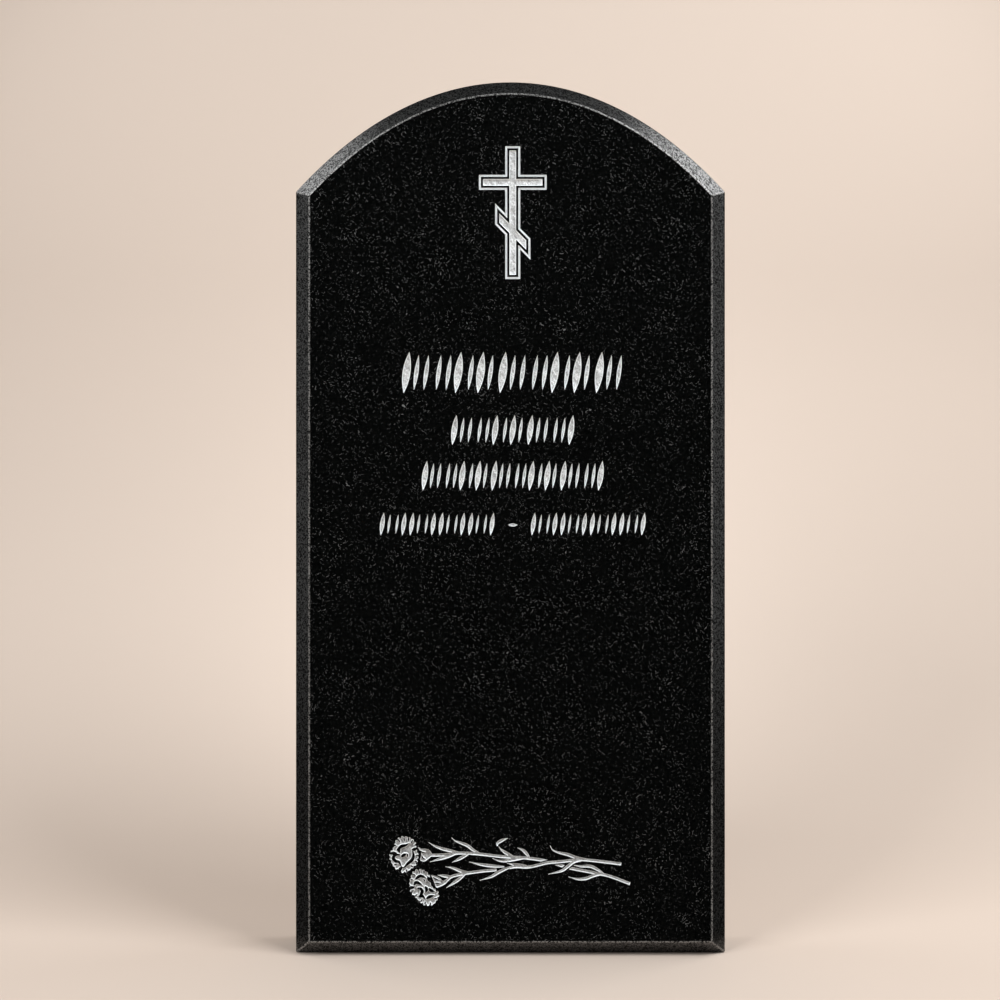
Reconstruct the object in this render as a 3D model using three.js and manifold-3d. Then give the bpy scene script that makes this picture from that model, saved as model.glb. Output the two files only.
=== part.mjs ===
// An upright headstone: a slab of polished black gabbro with an arched head. A wide chamfer runs
// round its front face, and a cross, rows of strokes and two carnations are sunk into that face.
// Millimetres, +Z up, the front face towards -Y, the origin under the middle of the base.
import * as THREE from "three";
import { mergeVertices } from "three/addons/utils/BufferGeometryUtils.js";
import Module from "manifold-3d";

// The slab
const HEIGHT = 1000;
const WIDTH = 493;
const THICKNESS = 80;
const ARCH_RISE = 126; // from the shoulders up to the apex
const ARCH_STEPS = 48;
const ARCH_SEARCH_ROUNDS = 12;
const CHAMFER = 17; // round the front face
const BACK_ARRIS = 3; // round the back face

// All carving has one depth, and its middle line stands a little to the right of the slab's own.
// A drop is measured down from the apex.
const CARVING_DEPTH = 2;
const CARVING_MIDDLE = 2.5;
const CARVING_CURVE_STEPS = 4;

// The cross: three bars, each a filling inside a standing ridge inside an outline
const CROSS_DROP = 77;
const CROSS_HEIGHT = 151;
const CROSS_BAR = 17;
const CROSS_OUTLINE = 2.2;
const CROSS_RIDGE = 2.5;
const BEAM_DROP = 118;
const BEAM_LENGTH = 77;
const FOOT_BEAM_DROP = 174;
const FOOT_BEAM_SPAN = 40;
const FOOT_BEAM_SLOPE = -1;

// The rows of strokes: drop of the foot line, then the groups and the strokes in each group.
// A stroke's width and height are shares of its row's height.
const BOLD = { width: 0.19, height: 1 };
const FINE = { width: 0.1, height: 0.84 };
const STROKE_LEAN = 0.14; // run over rise
const GROUP_FILL = 0.92; // share of its room that a group takes up
const HALF_ROW = 134;
const HALF_ROW_SHIFT = 86;
const ROWS = [
  { drop: 358, height: 47, width: 256, groups: 7, strokes: [BOLD, FINE, FINE], shift: 0 },
  { drop: 417, height: 34, width: 144, groups: 5, strokes: [BOLD, FINE, FINE], shift: 0 },
  { drop: 469, height: 34, width: 210, groups: 8, strokes: [BOLD, FINE, FINE], shift: 0 },
  { drop: 520, height: 26, width: HALF_ROW, groups: 8, strokes: [BOLD, FINE], shift: -HALF_ROW_SHIFT },
  { drop: 520, height: 26, width: HALF_ROW, groups: 8, strokes: [BOLD, FINE], shift: HALF_ROW_SHIFT },
];
const DASH = { drop: 508, length: 11, width: 3.4 };

// The carnations lie with their heads to the left, the second over the first. Every path runs by x
// and z on the face: a stem towards its flower, a leaf towards its tip, an outline anticlockwise.
// The gaps are the stone left standing between the petals of a head.
const OVERLAP_GAP = 1.6; // stone left standing round what lies on top
const STEM_WIDTH = 3.2;
const LEAF_WIDTH = 3.5;
const PETAL_GAP = 3.8;
const SWELLING_START = 0.12; // how far into its swelling a leaf or a gap starts
const SWELLING_TIP = 0.3; // half width left at its point
const STRIP_STEP = 3.6; // longest run between two points of a stem, a leaf or a gap
const FRILL = 1.8; // depth of the frill round a head
const FRILL_TEETH = 26;
const FRILL_UNEVENNESS = 0.6; // how much deeper its deepest teeth are
const FRILL_WAVES = 5; // how often that happens round a head
const CARNATIONS = [
  {
    stems: [
      [[136, 83.5], [113.5, 92], [95.5, 96], [65.5, 102], [40.5, 109.5], [16, 113], [-10, 114.5],
        [-36.5, 117.5], [-57.5, 118.5], [-76.5, 116.5], [-92, 116]],
    ],
    leaves: [
      [[-58, 119], [-70, 121.5], [-78, 123.5], [-86, 126.5], [-93, 130.5]],
      [[-62, 117.5], [-73, 114], [-82, 111.5], [-91.5, 108.5]],
      [[-48, 117], [-55.5, 113.5], [-61, 110.5], [-66.5, 108]],
      [[-34, 117.5], [-42.5, 122], [-49, 127], [-56.5, 130], [-63, 132.5], [-67, 136]],
      [[4, 114], [-5, 118.5], [-11, 123], [-13.5, 126]],
      [[-15, 126.5], [-14.5, 130], [-9.5, 133], [-3, 135.5]],
      [[21.5, 112], [19.5, 116], [14.5, 121.5], [8, 124.5]],
      [[16, 112.5], [3, 111], [-6.5, 109.5], [-14, 110], [-20.5, 112.5]],
      [[106, 95], [98.5, 100], [90.5, 103.5], [80, 103.5], [70.5, 105]],
      [[105, 94.5], [94, 92.5], [85.5, 89.5], [76, 89], [66, 91.5]],
    ],
    calyx: [[-90, 115], [-89.5, 117.5], [-92.5, 122], [-97, 123.5], [-101.5, 123.5], [-105.5, 125.5],
      [-102.5, 120], [-101.5, 116.5], [-103, 111], [-101, 109.5], [-98, 109], [-94, 111.5]],
    head: [[-121, 137], [-126.5, 135.5], [-131, 131], [-132.5, 125.5], [-135.5, 120], [-137, 114],
      [-135.5, 108.5], [-132.5, 103], [-126, 98], [-119.5, 97], [-113.5, 100.5], [-108.5, 105.5],
      [-106.5, 110.5], [-105, 116.5], [-107, 121], [-108.5, 126], [-109.5, 131.5], [-114.5, 136]],
    gaps: [
      [[-129.5, 121.5], [-124.5, 126], [-119.5, 127.5], [-115, 130]],
      [[-126.5, 125], [-127, 121.5], [-125.5, 118.5]],
      [[-125.5, 116.5], [-131, 116.5], [-133.5, 113], [-131, 109.5], [-127, 108.5], [-125, 104.5],
        [-122.5, 102]],
      [[-111.5, 121], [-110.5, 116], [-112, 111], [-117, 106.5], [-121, 102.5], [-125.5, 102]],
      [[-124.5, 114], [-121, 116.5], [-118, 118]],
      [[-112.5, 122], [-109, 123], [-105.5, 124.5]],
      [[-129.5, 118], [-133, 118.5], [-138.5, 117.5]],
      [[-123, 103], [-125, 101], [-128.5, 96]],
    ],
  },
  {
    stems: [
      [[126, 106], [102.5, 109], [79, 111], [59.5, 109], [42.5, 107.5], [32, 105], [19.5, 102.5],
        [7.5, 103], [-1, 102]],
      [[-16, 99.5], [-31.5, 98], [-43.5, 96.5], [-58.5, 94], [-67.5, 91.5], [-73, 87], [-78, 83.5]],
    ],
    leaves: [
      [[3, 103], [-3, 101.5], [-13, 97], [-22.5, 91.5], [-35, 87.5]],
      [[-46, 96.5], [-55, 97.5], [-61.5, 100], [-67.5, 102], [-74, 103]],
      [[-51, 95], [-59, 88.5], [-65.5, 84], [-73, 79]],
      [[-7, 103], [-16.5, 103.5], [-27, 104.5], [-36.5, 106], [-47, 108.5]],
      [[18.5, 104], [7.5, 105], [1, 106], [-4, 107]],
      [[90, 111], [76, 113], [64.5, 117], [55.5, 119], [48, 122], [45, 127]],
      [[83, 110.5], [72.5, 108.5], [66, 104], [59.5, 99], [51.5, 96.5], [43, 94.5]],
      [[-67, 91.5], [-75.5, 92.5], [-83, 93.5]],
    ],
    calyx: [[-73, 84.5], [-72, 87.5], [-77, 87], [-81, 90.5], [-85.5, 92.5], [-90, 93.5], [-88, 88],
      [-86, 83], [-84.5, 79.5], [-81, 80], [-76.5, 82]],
    head: [[-105, 99.5], [-109.5, 97.5], [-112.5, 92.5], [-114.5, 86.5], [-114.5, 81], [-113.5, 76],
      [-109.5, 70], [-104, 64.5], [-98.5, 60.5], [-92.5, 59.5], [-87.5, 60.5], [-83.5, 66.5],
      [-82.5, 72.5], [-85.5, 76.5], [-90, 81], [-92, 86], [-92.5, 91.5], [-94.5, 95.5], [-99, 99]],
    gaps: [
      [[-108.5, 88.5], [-104, 92], [-100, 92], [-95.5, 89.5]],
      [[-110, 81.5], [-108, 85], [-104, 84], [-100, 81.5]],
      [[-106.5, 78.5], [-102.5, 78], [-100.5, 75], [-101.5, 71.5], [-99, 68.5], [-96, 64]],
      [[-105, 68.5], [-102, 69.5], [-99, 68.5]],
      [[-97.5, 80.5], [-95.5, 77.5], [-97, 73]],
      [[-93, 78.5], [-90.5, 76], [-86, 74.5]],
      [[-96, 66.5], [-91.5, 69], [-86.5, 70.5]],
      [[-116, 79], [-111.5, 79.5], [-108.5, 80.5]],
      [[-90.5, 86.5], [-93, 88.5], [-94.5, 92.5]],
    ],
  },
];

const STONE = { color: 0x101111, roughness: 0.15, metalness: 0 };

const FACE = -THICKNESS / 2;
const BACK = THICKNESS / 2;
const CUTTER_PROUD = 5; // how far a cutter stands out of the face

const wasm = await Module();
wasm.setup();

function solidFrom(geometry) {
  geometry.deleteAttribute("normal");
  geometry.deleteAttribute("uv");
  const merged = mergeVertices(geometry);
  const mesh = new wasm.Mesh({
    numProp: 3,
    vertProperties: merged.attributes.position.array,
    triVerts: new Uint32Array(merged.index.array),
  });
  return new wasm.Manifold(mesh);
}

function geometryFrom(solid) {
  const mesh = solid.getMesh();
  const geometry = new THREE.BufferGeometry();
  geometry.setAttribute("position", new THREE.BufferAttribute(mesh.vertProperties, 3));
  geometry.setIndex(new THREE.BufferAttribute(mesh.triVerts, 1));
  const faceted = geometry.toNonIndexed();
  faceted.computeVertexNormals();
  return faceted;
}

function joined(solids) {
  return solids.reduce((whole, solid) => whole.add(solid));
}

// An outline drawn in x and z, carried from its front plane to its back plane. A bevel takes
// both ends in by its own size without changing the outline between them.
function prism(outline, front, back, bevel = 0) {
  const geometry = new THREE.ExtrudeGeometry(outline, {
    depth: back - front - 2 * bevel,
    curveSegments: CARVING_CURVE_STEPS,
    bevelEnabled: bevel > 0,
    bevelThickness: bevel,
    bevelSize: bevel,
    bevelOffset: -bevel,
    bevelSegments: 1,
  });
  geometry.rotateX(Math.PI / 2);
  geometry.translate(0, back - bevel, 0);
  return solidFrom(geometry);
}

function pocket(outline) {
  return prism(outline, FACE - CUTTER_PROUD, FACE + CARVING_DEPTH);
}

function height(drop) {
  return HEIGHT - drop;
}

// The arch is a catenary. Its parameter is found by Newton's method from a parabola's, so that
// the arch drops by its rise at the edge of the slab.
function catenaryParameter() {
  const half = WIDTH / 2;
  let parameter = half ** 2 / (2 * ARCH_RISE);
  for (let round = 0; round < ARCH_SEARCH_ROUNDS; round++) {
    const reach = half / parameter;
    const excess = parameter * (Math.cosh(reach) - 1) - ARCH_RISE;
    const slope = Math.cosh(reach) - 1 - reach * Math.sinh(reach);
    parameter -= excess / slope;
  }
  return parameter;
}

function slabOutline() {
  const half = WIDTH / 2;
  const parameter = catenaryParameter();
  const outline = new THREE.Shape();
  outline.moveTo(-half, 0);
  outline.lineTo(half, 0);
  for (let step = 0; step <= ARCH_STEPS; step++) {
    const x = half * (1 - (2 * step) / ARCH_STEPS);
    outline.lineTo(x, HEIGHT - parameter * (Math.cosh(x / parameter) - 1));
  }
  return outline;
}

// The front and back edges differ, so the slab is what a prism with the wide chamfer and one
// with the small arris have in common, each running on past the other's end.
function slab() {
  const outline = slabOutline();
  const chamfered = prism(outline, FACE, BACK + 2 * CHAMFER, CHAMFER);
  const eased = prism(outline, FACE - 2 * CHAMFER, BACK, BACK_ARRIS);
  return chamfered.intersect(eased);
}

// A bar by its half length and half width about a centre. With a slope its ends stay upright.
function bar(x, z, halfLength, halfWidth, slope = 0) {
  const rise = halfWidth * Math.hypot(1, slope);
  const run = halfLength * slope;
  return new THREE.Shape([
    new THREE.Vector2(x - halfLength, z - run - rise),
    new THREE.Vector2(x + halfLength, z + run - rise),
    new THREE.Vector2(x + halfLength, z + run + rise),
    new THREE.Vector2(x - halfLength, z - run + rise),
  ]);
}

function crossBars(inset) {
  const x = CARVING_MIDDLE;
  const thick = CROSS_BAR / 2 - inset;
  const upright = bar(x, height(CROSS_DROP + CROSS_HEIGHT / 2), thick, CROSS_HEIGHT / 2 - inset);
  const beam = bar(x, height(BEAM_DROP), BEAM_LENGTH / 2 - inset, thick);
  const footSpan = FOOT_BEAM_SPAN / 2 - inset;
  const foot = bar(x, height(FOOT_BEAM_DROP), footSpan, thick, FOOT_BEAM_SLOPE);
  return joined([upright, beam, foot].map(pocket));
}

function cross() {
  const outline = crossBars(0).subtract(crossBars(CROSS_OUTLINE));
  return outline.add(crossBars(CROSS_OUTLINE + CROSS_RIDGE));
}

// A stroke of a gouge, pointed at both ends and widest in the middle
function spindle(from, to, width) {
  const middle = from.clone().lerp(to, 0.5);
  const along = to.clone().sub(from).normalize();
  const across = new THREE.Vector2(-along.y, along.x).multiplyScalar(width);
  const outline = new THREE.Shape();
  outline.moveTo(from.x, from.y);
  outline.quadraticCurveTo(middle.x - across.x, middle.y - across.y, to.x, to.y);
  outline.quadraticCurveTo(middle.x + across.x, middle.y + across.y, from.x, from.y);
  return outline;
}

// The strokes of each group move up by one place in the next, so that the bold ones wander.
function rowOfStrokes(row) {
  const count = row.strokes.length;
  const groupRoom = row.width / row.groups;
  const strokeRoom = (groupRoom * GROUP_FILL) / count;
  const z = height(row.drop) + row.height / 2;
  const outlines = [];
  for (let group = 0; group < row.groups; group++) {
    const groupMiddle = CARVING_MIDDLE + row.shift + (group + 0.5 - row.groups / 2) * groupRoom;
    for (let place = 0; place < count; place++) {
      const stroke = row.strokes[(place + group) % count];
      const half = new THREE.Vector2(STROKE_LEAN, 1).multiplyScalar((row.height * stroke.height) / 2);
      const middle = new THREE.Vector2(groupMiddle + (place + 0.5 - count / 2) * strokeRoom, z);
      const from = middle.clone().sub(half);
      const to = middle.clone().add(half);
      outlines.push(spindle(from, to, row.height * stroke.width));
    }
  }
  return outlines;
}

function dash() {
  const half = new THREE.Vector2(DASH.length / 2, 0);
  const middle = new THREE.Vector2(CARVING_MIDDLE, height(DASH.drop));
  return spindle(middle.clone().sub(half), middle.clone().add(half), DASH.width);
}

function faceShape(points) {
  return new THREE.Shape(points.map(([x, z]) => new THREE.Vector2(x, z)));
}

// A strip along a smooth path, its half width a function of the share of the way along
function strip(path, halfWidth) {
  const curve = new THREE.SplineCurve(path.map(([x, z]) => new THREE.Vector2(x, z)));
  const steps = Math.ceil(curve.getLength() / STRIP_STEP);
  const left = [];
  const right = [];
  for (let step = 0; step <= steps; step++) {
    const share = step / steps;
    const point = curve.getPointAt(share);
    const tangent = curve.getTangentAt(share);
    const across = new THREE.Vector2(-tangent.y, tangent.x).multiplyScalar(halfWidth(share));
    left.push(point.clone().add(across));
    right.unshift(point.clone().sub(across));
  }
  return new THREE.Shape([...right, ...left]);
}

function stem(path, margin) {
  return pocket(strip(path, () => STEM_WIDTH / 2 + margin));
}

// A leaf or a gap swells from a narrow start and ends in a point.
function swellingStrip(path, width, margin) {
  const halfWidth = (share) => {
    const swelling = Math.sin(Math.PI * (SWELLING_START + (1 - SWELLING_START) * share));
    return Math.max((width / 2) * swelling, SWELLING_TIP) + margin;
  };
  return pocket(strip(path, halfWidth));
}

// A head's outline with its teeth standing half in and half out of it
function frilled(outline) {
  const points = outline.map(([x, z]) => new THREE.Vector3(x, z, 0));
  const curve = new THREE.CatmullRomCurve3(points, true, "catmullrom");
  const count = 2 * FRILL_TEETH;
  const frill = [];
  for (let step = 0; step < count; step++) {
    const way = step / count;
    const point = curve.getPointAt(way);
    const tangent = curve.getTangentAt(way);
    const depth = FRILL * (1 + FRILL_UNEVENNESS * Math.sin(2 * Math.PI * FRILL_WAVES * way));
    const out = step % 2 ? depth / 2 : -depth / 2;
    frill.push([point.x + tangent.y * out, point.y - tangent.x * out]);
  }
  return pocket(faceShape(frill));
}

function stemsAndLeaves({ stems, leaves }, margin) {
  return joined([
    ...stems.map((path) => stem(path, margin)),
    ...leaves.map((path) => swellingStrip(path, LEAF_WIDTH, margin)),
  ]);
}

function carnation(parts) {
  const gaps = joined(parts.gaps.map((path) => swellingStrip(path, PETAL_GAP, 0)));
  const head = frilled(parts.head).subtract(gaps);
  return joined([stemsAndLeaves(parts, 0), pocket(faceShape(parts.calyx)), head]);
}

function carnations() {
  const [lower, upper] = CARNATIONS;
  const uncovered = carnation(lower).subtract(stemsAndLeaves(upper, OVERLAP_GAP));
  return uncovered.add(carnation(upper));
}

function carvedSlab() {
  const strokes = joined([...ROWS.flatMap(rowOfStrokes), dash()].map(pocket));
  return slab().subtract(cross()).subtract(strokes).subtract(carnations());
}

const headstone = new THREE.Mesh(geometryFrom(carvedSlab()), new THREE.MeshStandardMaterial(STONE));
headstone.name = "headstone";

const memorial = new THREE.Group();
memorial.add(headstone);

export default memorial;
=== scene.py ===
"""A carved headstone of polished black stone, laid out as a Blender 4.5 add-on and run as a script.

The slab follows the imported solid: Geometry Nodes draw its outline and bevels cut its chamfer. Flat
stencils of the carving are laid over one another, and the topmost at each spot says whether the stone
is cut there. The front face is then meshed afresh with the carving sunk into it. Metres, +Z up, the
front face towards -Y. A drop is a distance down from the apex.
"""
import math
from typing import NamedTuple

import bmesh
import bpy
import numpy as np
from bpy.props import FloatProperty, FloatVectorProperty, IntProperty, PointerProperty
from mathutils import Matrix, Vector
from mathutils.geometry import delaunay_2d_cdt
from mathutils.kdtree import KDTree


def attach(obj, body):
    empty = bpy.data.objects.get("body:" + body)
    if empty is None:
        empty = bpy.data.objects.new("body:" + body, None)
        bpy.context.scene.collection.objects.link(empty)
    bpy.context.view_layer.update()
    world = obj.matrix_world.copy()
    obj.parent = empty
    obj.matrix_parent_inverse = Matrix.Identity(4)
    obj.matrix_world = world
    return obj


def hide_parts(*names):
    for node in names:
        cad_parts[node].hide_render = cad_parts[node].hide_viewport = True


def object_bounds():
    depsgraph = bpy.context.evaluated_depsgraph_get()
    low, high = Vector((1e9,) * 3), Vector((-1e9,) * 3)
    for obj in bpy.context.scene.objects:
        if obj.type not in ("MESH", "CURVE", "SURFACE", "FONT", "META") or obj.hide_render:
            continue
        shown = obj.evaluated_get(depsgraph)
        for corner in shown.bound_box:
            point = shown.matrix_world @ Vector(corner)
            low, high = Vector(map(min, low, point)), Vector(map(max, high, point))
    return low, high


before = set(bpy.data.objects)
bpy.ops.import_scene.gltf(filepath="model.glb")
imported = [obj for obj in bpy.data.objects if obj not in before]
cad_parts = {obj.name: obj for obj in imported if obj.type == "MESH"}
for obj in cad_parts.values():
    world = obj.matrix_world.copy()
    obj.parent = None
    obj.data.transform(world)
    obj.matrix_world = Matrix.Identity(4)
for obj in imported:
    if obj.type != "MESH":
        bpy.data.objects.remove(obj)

bl_info = {
    "name": "Carved headstone",
    "version": (1, 0, 0),
    "blender": (4, 5, 0),
    "location": "3D View > Sidebar > Headstone",
    "description": "Builds an arched headstone with a carved face, and the studio that it stands in",
    "category": "Add Mesh",
}

MM = 0.001
NODE = "headstone"
CAD_LOW, CAD_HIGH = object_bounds()
CAD_SIZE = CAD_HIGH - CAD_LOW
FACE = CAD_LOW.y
APEX = CAD_HIGH.z

# How finely the stone is meshed
ARCH_STEPS = 64
ARCH_SEARCH_ROUNDS = 12
ARRIS_SEGMENTS = 4
STROKE_STEPS = 33
HEAD_STEPS = 260
SPLINE_RESOLUTION = 40
RIM_SPACING = 0.6 * MM
RIM_SAMPLE = 0.15 * MM
FLOOR_SPACING = 0.75 * MM
FLOOR_CLEARANCE = 0.55 * FLOOR_SPACING
POINT_SPREAD = 0.45 * RIM_SPACING
WALL_ROWS = (0.4, 1.0)
WALL_SLACK = 0.93

# What counts as nothing, as one point, as a corner and as an edge
SMALLEST_CUT = 0.8 * MM * MM
SMALLEST_TRIANGLE = 1e-4 * MM * MM
SAME_POINT = 0.05 * MM
OVERLAY_TOLERANCE = 1e-7
CORNER_TURN = math.radians(32)
SHARP_TURN = math.radians(3)
ARRIS_TURN = math.radians(25)
SQUARE_ON = 0.999
NORMAL_SLACK = 0.005
NEAR_FRONT = 0.75
NEAR_BACK = 0.25

# Where on a wall the tool marks start, and how much they are drawn out
MARKS_START = 0.5
MARK_SQUEEZE = 0.2

# How pale each part of the carving is
CROSS_TONE = 0.66
OUTLINE_TONE = 0.95
STROKE_TONE = 0.68
SPRIG_TONE = 0.46
PETAL_TONE = 0.4
CUP_TONE = 0.36


class Row(NamedTuple):
    """A row of strokes by its foot line, its size, its groups and how far it stands off the middle."""

    drop: float
    height: float
    width: float
    groups: int
    strokes: int
    shift: float = 0.0


class Carnation(NamedTuple):
    """A carnation by paths in x and z, in millimetres: stems towards the flower, leaves towards their
    tips, outlines of the cup and the head anticlockwise, the gaps between the petals, and the fine
    folds in the petals and the cup."""

    stems: tuple
    leaves: tuple
    cup: tuple
    head: tuple
    gaps: tuple
    folds: tuple


ROWS = (
    Row(358 * MM, 47 * MM, 256 * MM, 7, 3),
    Row(417 * MM, 34 * MM, 144 * MM, 5, 3),
    Row(469 * MM, 34 * MM, 210 * MM, 8, 3),
    Row(520 * MM, 26 * MM, 134 * MM, 8, 2, -86 * MM),
    Row(520 * MM, 26 * MM, 134 * MM, 8, 2, 86 * MM),
)
DASH_DROP = 508 * MM
DASH_LENGTH = 11 * MM
DASH_WIDTH = 3.4 * MM

# The second carnation lies over the first.
CARNATIONS = (
    Carnation(
        stems=(
            ((136, 83.5), (113.5, 92), (95.5, 96), (65.5, 102), (40.5, 109.5), (16, 113), (-10, 114.5),
             (-36.5, 117.5), (-57.5, 118.5), (-76.5, 116.5), (-92, 116)),
        ),
        leaves=(
            ((-58, 119), (-70, 121.5), (-78, 123.5), (-86, 126.5), (-93, 130.5)),
            ((-62, 117.5), (-73, 114), (-82, 111.5), (-91.5, 108.5)),
            ((-48, 117), (-55.5, 113.5), (-61, 110.5), (-66.5, 108)),
            ((-34, 117.5), (-42.5, 122), (-49, 127), (-56.5, 130), (-63, 132.5), (-67, 136)),
            ((4, 114), (-5, 118.5), (-11, 123), (-13.5, 126)),
            ((-15, 126.5), (-14.5, 130), (-9.5, 133), (-3, 135.5)),
            ((21.5, 112), (19.5, 116), (14.5, 121.5), (8, 124.5)),
            ((16, 112.5), (3, 111), (-6.5, 109.5), (-14, 110), (-20.5, 112.5)),
            ((106, 95), (98.5, 100), (90.5, 103.5), (80, 103.5), (70.5, 105)),
            ((105, 94.5), (94, 92.5), (85.5, 89.5), (76, 89), (66, 91.5)),
        ),
        cup=((-90, 115), (-89.5, 117.5), (-92.5, 122), (-97, 123.5), (-101.5, 123.5), (-105.5, 125.5),
             (-102.5, 120), (-101.5, 116.5), (-103, 111), (-101, 109.5), (-98, 109), (-94, 111.5)),
        head=((-121, 137), (-126.5, 135.5), (-131, 131), (-132.5, 125.5), (-135.5, 120), (-137, 114),
              (-135.5, 108.5), (-132.5, 103), (-126, 98), (-119.5, 97), (-113.5, 100.5),
              (-108.5, 105.5), (-106.5, 110.5), (-105, 116.5), (-107, 121), (-108.5, 126),
              (-109.5, 131.5), (-114.5, 136)),
        gaps=(
            ((-129.5, 121.5), (-124.5, 126), (-119.5, 127.5), (-115, 130)),
            ((-126.5, 125), (-127, 121.5), (-125.5, 118.5)),
            ((-125.5, 116.5), (-131, 116.5), (-133.5, 113), (-131, 109.5), (-127, 108.5), (-125, 104.5),
             (-122.5, 102)),
            ((-111.5, 121), (-110.5, 116), (-112, 111), (-117, 106.5), (-121, 102.5), (-125.5, 102)),
            ((-124.5, 114), (-121, 116.5), (-118, 118)),
            ((-112.5, 122), (-109, 123), (-105.5, 124.5)),
            ((-129.5, 118), (-133, 118.5), (-138.5, 117.5)),
            ((-123, 103), (-125, 101), (-128.5, 96)),
        ),
        folds=(
            ((-121.5, 136.5), (-120.5, 131.5)),
            ((-116.5, 136.5), (-116, 131.5)),
            ((-111.5, 133.5), (-113.5, 129)),
            ((-128, 134.5), (-125.5, 130.5)),
            ((-133.5, 128), (-129.5, 126.5)),
            ((-132.5, 105.5), (-128.5, 106)),
            ((-118.5, 97), (-118, 100.5)),
            ((-111, 102.5), (-114, 105)),
            ((-106.5, 108.5), (-109.5, 109.5)),
            ((-105, 116), (-108, 116)),
            ((-117.5, 118), (-117, 113.5)),
            ((-104, 121.5), (-100.5, 119.5), (-97, 119.5)),
            ((-101, 116), (-100, 113), (-97, 112)),
        ),
    ),
    Carnation(
        stems=(
            ((126, 106), (102.5, 109), (79, 111), (59.5, 109), (42.5, 107.5), (32, 105), (19.5, 102.5),
             (7.5, 103), (-1, 102)),
            ((-16, 99.5), (-31.5, 98), (-43.5, 96.5), (-58.5, 94), (-67.5, 91.5), (-73, 87),
             (-78, 83.5)),
        ),
        leaves=(
            ((3, 103), (-3, 101.5), (-13, 97), (-22.5, 91.5), (-35, 87.5)),
            ((-46, 96.5), (-55, 97.5), (-61.5, 100), (-67.5, 102), (-74, 103)),
            ((-51, 95), (-59, 88.5), (-65.5, 84), (-73, 79)),
            ((-7, 103), (-16.5, 103.5), (-27, 104.5), (-36.5, 106), (-47, 108.5)),
            ((18.5, 104), (7.5, 105), (1, 106), (-4, 107)),
            ((90, 111), (76, 113), (64.5, 117), (55.5, 119), (48, 122), (45, 127)),
            ((83, 110.5), (72.5, 108.5), (66, 104), (59.5, 99), (51.5, 96.5), (43, 94.5)),
            ((-67, 91.5), (-75.5, 92.5), (-83, 93.5)),
        ),
        cup=((-73, 84.5), (-72, 87.5), (-77, 87), (-81, 90.5), (-85.5, 92.5), (-90, 93.5), (-88, 88),
             (-86, 83), (-84.5, 79.5), (-81, 80), (-76.5, 82)),
        head=((-105, 99.5), (-109.5, 97.5), (-112.5, 92.5), (-114.5, 86.5), (-114.5, 81), (-113.5, 76),
              (-109.5, 70), (-104, 64.5), (-98.5, 60.5), (-92.5, 59.5), (-87.5, 60.5), (-83.5, 66.5),
              (-82.5, 72.5), (-85.5, 76.5), (-90, 81), (-92, 86), (-92.5, 91.5), (-94.5, 95.5),
              (-99, 99)),
        gaps=(
            ((-108.5, 88.5), (-104, 92), (-100, 92), (-95.5, 89.5)),
            ((-110, 81.5), (-108, 85), (-104, 84), (-100, 81.5)),
            ((-106.5, 78.5), (-102.5, 78), (-100.5, 75), (-101.5, 71.5), (-99, 68.5), (-96, 64)),
            ((-105, 68.5), (-102, 69.5), (-99, 68.5)),
            ((-97.5, 80.5), (-95.5, 77.5), (-97, 73)),
            ((-93, 78.5), (-90.5, 76), (-86, 74.5)),
            ((-96, 66.5), (-91.5, 69), (-86.5, 70.5)),
            ((-116, 79), (-111.5, 79.5), (-108.5, 80.5)),
            ((-90.5, 86.5), (-93, 88.5), (-94.5, 92.5)),
        ),
        folds=(
            ((-104.5, 99.5), (-103.5, 95)),
            ((-98.5, 99), (-98.5, 94.5)),
            ((-111, 95), (-108, 92.5)),
            ((-114, 88.5), (-110.5, 88)),
            ((-113.5, 75), (-109.5, 76)),
            ((-109, 69), (-106, 72)),
            ((-102.5, 63), (-100.5, 66)),
            ((-97.5, 60), (-97, 63.5)),
            ((-91, 59.5), (-91.5, 62.5)),
            ((-83.5, 66.5), (-87, 67)),
            ((-99, 89), (-97, 85.5)),
            ((-88.5, 91), (-84.5, 88.5), (-80.5, 87.5)),
            ((-86, 84.5), (-83, 84), (-80, 84.5)),
        ),
    ),
)


# Settings

def length(name, description, default):
    return FloatProperty(
        name=name, description=description, default=default, unit="LENGTH", precision=4
    )


def share(name, description, default):
    return FloatProperty(name=name, description=description, default=default, subtype="FACTOR")


def angle(name, description, default):
    return FloatProperty(name=name, description=description, default=default, subtype="ANGLE")


def colour(name, description, default):
    return FloatVectorProperty(
        name=name, description=description, default=default, subtype="COLOR", min=0.0, max=1.0
    )


def power(name, description, default):
    return FloatProperty(name=name, description=description, default=default, unit="POWER")


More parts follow.
